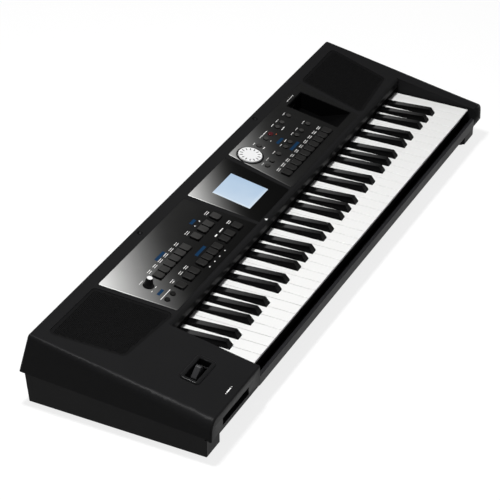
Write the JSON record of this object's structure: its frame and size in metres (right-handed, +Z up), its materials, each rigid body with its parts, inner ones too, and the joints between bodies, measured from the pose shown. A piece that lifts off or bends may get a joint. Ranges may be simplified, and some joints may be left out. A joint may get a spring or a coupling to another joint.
{
  "type": "arranger keyboard",
  "caption": "Flat arranger keyboard with a tilted control panel, full-size keys that press, button strips, display, value dial, bend lever, end speakers and rear sockets.",
  "frame": {"origin": "middle of the footprint, on the surface that the feet stand on", "axes": "+X to the player's right, +Y to the back, +Z up"},
  "size_m": [1.0438, 0.317, 0.1278],
  "materials": {
    "case_black": "fine satin texture",
    "case_lower": "fine matte texture",
    "panel_silver": "satin paint that fades from silver to charcoal",
    "key_white": "semi-gloss",
    "key_black": "satin",
    "button_grey": "satin",
    "round_button": "satin",
    "record_red": "translucent gloss",
    "dial_white": "satin",
    "knob_black": "satin",
    "lever_grey": "satin",
    "collar_black": "gloss",
    "display_glass": "clear, gloss",
    "module_white": "matte",
    "grille_black": "matte, finely perforated",
    "speaker_steel": "semi-matte",
    "cone_paper": "matte",
    "socket_metal": "plain",
    "inner_plastic": "plain",
    "rear_paint": "semi-matte",
    "steel_rod": "plain",
    "felt_red": "matte",
    "board_green": "satin",
    "foot_rubber": "matte"
  },
  "bodies": {
    "case": {"top_case": "case_black", "end_cheeks": "case_black", "bottom_case": "case_lower", "key_slip": "case_lower", "left_panel": "panel_silver", "middle_panel": "panel_silver", "right_panel": "panel_silver", "display_window": "display_glass", "display_module": "module_white", "speaker_grilles": "grille_black", "speaker_frames": "speaker_steel", "speaker_cones": "cone_paper", "dial_collar": "collar_black", "rotary_bodies": "module_white", "bender_bezel": "case_lower", "bender_base": "inner_plastic", "memory_tray": "case_lower", "usb_socket": "socket_metal", "phone_jacks": "inner_plastic", "rear_plate": "rear_paint", "computer_socket": "socket_metal", "dc_inlet": "inner_plastic", "power_switch_body": "inner_plastic", "keybed_frame": "inner_plastic", "key_pivot_rod": "steel_rod", "key_springs": "steel_rod", "key_felt": "felt_red", "contact_board": "board_green", "contact_rubber": "foot_rubber", "main_board": "board_green", "panel_boards": "board_green", "case_screws": "steel_rod", "rubber_feet": "foot_rubber"},
    "key_c": {"key_c": "key_white"},
    "key_d": {"key_d": "key_white"},
    "key_e": {"key_e": "key_white"},
    "key_f": {"key_f": "key_white"},
    "key_g": {"key_g": "key_white"},
    "key_a": {"key_a": "key_white"},
    "key_b": {"key_b": "key_white"},
    "key_c_sharp": {"key_c_sharp": "key_black"},
    "key_d_sharp": {"key_d_sharp": "key_black"},
    "key_f_sharp": {"key_f_sharp": "key_black"},
    "key_g_sharp": {"key_g_sharp": "key_black"},
    "key_a_sharp": {"key_a_sharp": "key_black"},
    "style_buttons": {"style_buttons": "button_grey"},
    "tempo_buttons": {"tempo_buttons": "button_grey"},
    "intro_buttons": {"intro_buttons": "button_grey"},
    "variation_buttons": {"variation_buttons": "button_grey"},
    "ending_buttons": {"ending_buttons": "button_grey"},
    "tone_buttons": {"tone_buttons": "button_grey"},
    "octave_buttons": {"octave_buttons": "round_button"},
    "menu_buttons": {"menu_buttons": "round_button"},
    "record_button": {"record_button": "record_red"},
    "part_buttons": {"part_buttons": "round_button"},
    "value_dial": {"value_dial": "dial_white"},
    "volume_knob": {"volume_knob": "knob_black"},
    "bend_yoke": {"bend_yoke": "inner_plastic"},
    "bend_lever": {"bend_lever": "lever_grey"},
    "power_button": {"power_button": "knob_black"}
  },
  "joints": [
    {"name": "key_c_press", "type": "hinge", "parent": "case", "child": "key_c", "pos_m": [0, 0.028, 0.0668], "axis": [1, 0, 0], "range_deg": [0, 3.2], "stiffness_Nm_per_rad": 2.5, "springref_deg": -14.32},
    {"name": "key_d_press", "type": "hinge", "parent": "case", "child": "key_d", "pos_m": [0, 0.028, 0.0668], "axis": [1, 0, 0], "range_deg": [0, 3.2], "stiffness_Nm_per_rad": 2.5, "springref_deg": -14.32},
    {"name": "key_e_press", "type": "hinge", "parent": "case", "child": "key_e", "pos_m": [0, 0.028, 0.0668], "axis": [1, 0, 0], "range_deg": [0, 3.2], "stiffness_Nm_per_rad": 2.5, "springref_deg": -14.32},
    {"name": "key_f_press", "type": "hinge", "parent": "case", "child": "key_f", "pos_m": [0, 0.028, 0.0668], "axis": [1, 0, 0], "range_deg": [0, 3.2], "stiffness_Nm_per_rad": 2.5, "springref_deg": -14.32},
    {"name": "key_g_press", "type": "hinge", "parent": "case", "child": "key_g", "pos_m": [0, 0.028, 0.0668], "axis": [1, 0, 0], "range_deg": [0, 3.2], "stiffness_Nm_per_rad": 2.5, "springref_deg": -14.32},
    {"name": "key_a_press", "type": "hinge", "parent": "case", "child": "key_a", "pos_m": [0, 0.028, 0.0668], "axis": [1, 0, 0], "range_deg": [0, 3.2], "stiffness_Nm_per_rad": 2.5, "springref_deg": -14.32},
    {"name": "key_b_press", "type": "hinge", "parent": "case", "child": "key_b", "pos_m": [0, 0.028, 0.0668], "axis": [1, 0, 0], "range_deg": [0, 3.2], "stiffness_Nm_per_rad": 2.5, "springref_deg": -14.32},
    {"name": "key_c_sharp_press", "type": "hinge", "parent": "case", "child": "key_c_sharp", "pos_m": [0, 0.028, 0.0668], "axis": [1, 0, 0], "range_deg": [0, 3.2], "stiffness_Nm_per_rad": 2.5, "springref_deg": -14.32},
    {"name": "key_d_sharp_press", "type": "hinge", "parent": "case", "child": "key_d_sharp", "pos_m": [0, 0.028, 0.0668], "axis": [1, 0, 0], "range_deg": [0, 3.2], "stiffness_Nm_per_rad": 2.5, "springref_deg": -14.32},
    {"name": "key_f_sharp_press", "type": "hinge", "parent": "case", "child": "key_f_sharp", "pos_m": [0, 0.028, 0.0668], "axis": [1, 0, 0], "range_deg": [0, 3.2], "stiffness_Nm_per_rad": 2.5, "springref_deg": -14.32},
    {"name": "key_g_sharp_press", "type": "hinge", "parent": "case", "child": "key_g_sharp", "pos_m": [0, 0.028, 0.0668], "axis": [1, 0, 0], "range_deg": [0, 3.2], "stiffness_Nm_per_rad": 2.5, "springref_deg": -14.32},
    {"name": "key_a_sharp_press", "type": "hinge", "parent": "case", "child": "key_a_sharp", "pos_m": [0, 0.028, 0.0668], "axis": [1, 0, 0], "range_deg": [0, 3.2], "stiffness_Nm_per_rad": 2.5, "springref_deg": -14.32},
    {"name": "style_buttons_press", "type": "slide", "parent": "case", "child": "style_buttons", "axis": [0, 0.1724, -0.985], "range_m": [0, 0.0012], "stiffness_N_per_m": 500, "springref_m": -0.003},
    {"name": "tempo_buttons_press", "type": "slide", "parent": "case", "child": "tempo_buttons", "axis": [0, 0.1724, -0.985], "range_m": [0, 0.0012], "stiffness_N_per_m": 500, "springref_m": -0.003},
    {"name": "intro_buttons_press", "type": "slide", "parent": "case", "child": "intro_buttons", "axis": [0, 0.1724, -0.985], "range_m": [0, 0.0012], "stiffness_N_per_m": 500, "springref_m": -0.003},
    {"name": "variation_buttons_press", "type": "slide", "parent": "case", "child": "variation_buttons", "axis": [0, 0.1724, -0.985], "range_m": [0, 0.0012], "stiffness_N_per_m": 500, "springref_m": -0.003},
    {"name": "ending_buttons_press", "type": "slide", "parent": "case", "child": "ending_buttons", "axis": [0, 0.1724, -0.985], "range_m": [0, 0.0012], "stiffness_N_per_m": 500, "springref_m": -0.003},
    {"name": "tone_buttons_press", "type": "slide", "parent": "case", "child": "tone_buttons", "axis": [0, 0.1724, -0.985], "range_m": [0, 0.0012], "stiffness_N_per_m": 500, "springref_m": -0.003},
    {"name": "octave_buttons_press", "type": "slide", "parent": "case", "child": "octave_buttons", "axis": [0, 0.1724, -0.985], "range_m": [0, 0.0012], "stiffness_N_per_m": 500, "springref_m": -0.003},
    {"name": "menu_buttons_press", "type": "slide", "parent": "case", "child": "menu_buttons", "axis": [0, 0.1724, -0.985], "range_m": [0, 0.0012], "stiffness_N_per_m": 500, "springref_m": -0.003},
    {"name": "record_button_press", "type": "slide", "parent": "case", "child": "record_button", "axis": [0, 0.1724, -0.985], "range_m": [0, 0.0012], "stiffness_N_per_m": 500, "springref_m": -0.003},
    {"name": "part_buttons_press", "type": "slide", "parent": "case", "child": "part_buttons", "axis": [0, 0.1724, -0.985], "range_m": [0, 0.0012], "stiffness_N_per_m": 500, "springref_m": -0.003},
    {"name": "value_dial_turn", "type": "hinge", "parent": "case", "child": "value_dial", "pos_m": [0.0975, 0.08973, 0.11731], "axis": [0, -0.1724, 0.985], "continuous": true},
    {"name": "volume_knob_turn", "type": "hinge", "parent": "case", "child": "volume_knob", "pos_m": [-0.3066, 0.05871, 0.11188], "axis": [0, -0.1724, 0.985], "range_deg": [-150, 150]},
    {"name": "bend_swing", "type": "hinge", "parent": "case", "child": "bend_yoke", "pos_m": [-0.43101, -0.08648, 0.06209], "axis": [0, 0.985, 0.1724], "range_deg": [-20, 20], "stiffness_Nm_per_rad": 0.2},
    {"name": "bend_push", "type": "hinge", "parent": "bend_yoke", "child": "bend_lever", "pos_m": [-0.43101, -0.08648, 0.06209], "axis": [-1, 0, 0], "range_deg": [0, 10], "stiffness_Nm_per_rad": 0.15, "springref_deg": -11.46},
    {"name": "power_press", "type": "slide", "parent": "case", "child": "power_button", "axis": [0, -0.9725, -0.2331], "range_m": [0, 0.0025], "stiffness_N_per_m": 600, "springref_m": -0.003}
  ]
}
